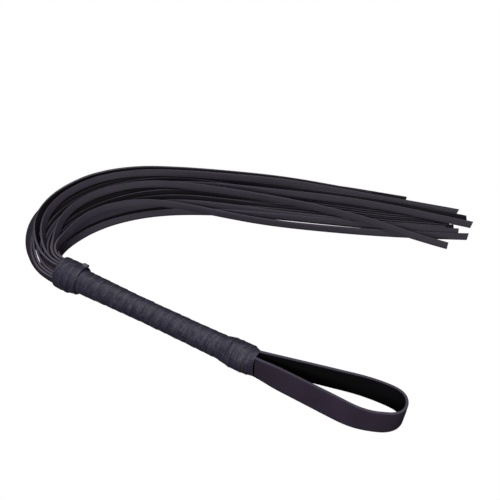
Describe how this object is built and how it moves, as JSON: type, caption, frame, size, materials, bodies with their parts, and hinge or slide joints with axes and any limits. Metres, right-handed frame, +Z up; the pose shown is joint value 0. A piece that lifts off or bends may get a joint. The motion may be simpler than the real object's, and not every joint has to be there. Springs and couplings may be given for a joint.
{
  "type": "multi-tail leather whip",
  "caption": "Black leather whip: a ribbon-wrapped handle with long flat falls bound under a thicker collar at one end and a strap wrist loop at the butt.",
  "frame": {"origin": "on the table, under the middle of the box round the handle and the wrist loop, without the falls", "axes": "+X along the handle from the falls' collar to the wrist loop, +Y towards the side on which the falls lie, +Z up from the table"},
  "size_m": [0.3832, 0.2579, 0.027],
  "materials": {
    "falls_leather": "semi-matt coated leather",
    "wrap_ribbon": "satin coated ribbon",
    "strap_leather": "semi-matt coated face, dark flesh side",
    "core_wood": "turned, stained black",
    "waxed_thread": "waxed",
    "tack_brass": "plain",
    "nail_steel": "plain"
  },
  "bodies": {
    "handle": {"handle_core": "core_wood", "fringe_band": "falls_leather", "fringe_thread": "waxed_thread", "fringe_tacks": "tack_brass", "collar_wrap": "wrap_ribbon", "collar_tag": "wrap_ribbon", "grip_wrap": "wrap_ribbon", "butt_wrap": "wrap_ribbon", "strap_tails": "strap_leather", "strap_pins": "nail_steel"},
    "loop": {"wrist_loop": "strap_leather"},
    "falls": {"fall_01": "falls_leather", "fall_02": "falls_leather", "fall_03": "falls_leather", "fall_04": "falls_leather", "fall_05": "falls_leather", "fall_06": "falls_leather", "fall_07": "falls_leather", "fall_08": "falls_leather", "fall_09": "falls_leather", "fall_10": "falls_leather", "fall_11": "falls_leather", "fall_12": "falls_leather", "fall_13": "falls_leather", "fall_14": "falls_leather", "fall_15": "falls_leather", "fall_16": "falls_leather", "fall_17": "falls_leather", "fall_18": "falls_leather", "fall_19": "falls_leather", "fall_20": "falls_leather"}
  },
  "joints": [
    {"name": "falls_swing", "type": "hinge", "parent": "handle", "child": "falls", "pos_m": [-0.156, -0.0075, 0.0135], "axis": [0, 0, 1], "range_deg": [-20, 45], "deforming": ["fall_01", "fall_02", "fall_03", "fall_04", "fall_05", "fall_06", "fall_07", "fall_08", "fall_09", "fall_10", "fall_11", "fall_12", "fall_13", "fall_14", "fall_15", "fall_16", "fall_17", "fall_18", "fall_19", "fall_20"]},
    {"name": "loop_swing", "type": "hinge", "parent": "handle", "child": "loop", "pos_m": [0.034, -0.0075, 0.0135], "axis": [0, 0, 1], "range_deg": [-30, 30], "deforming": ["wrist_loop"]}
  ]
}
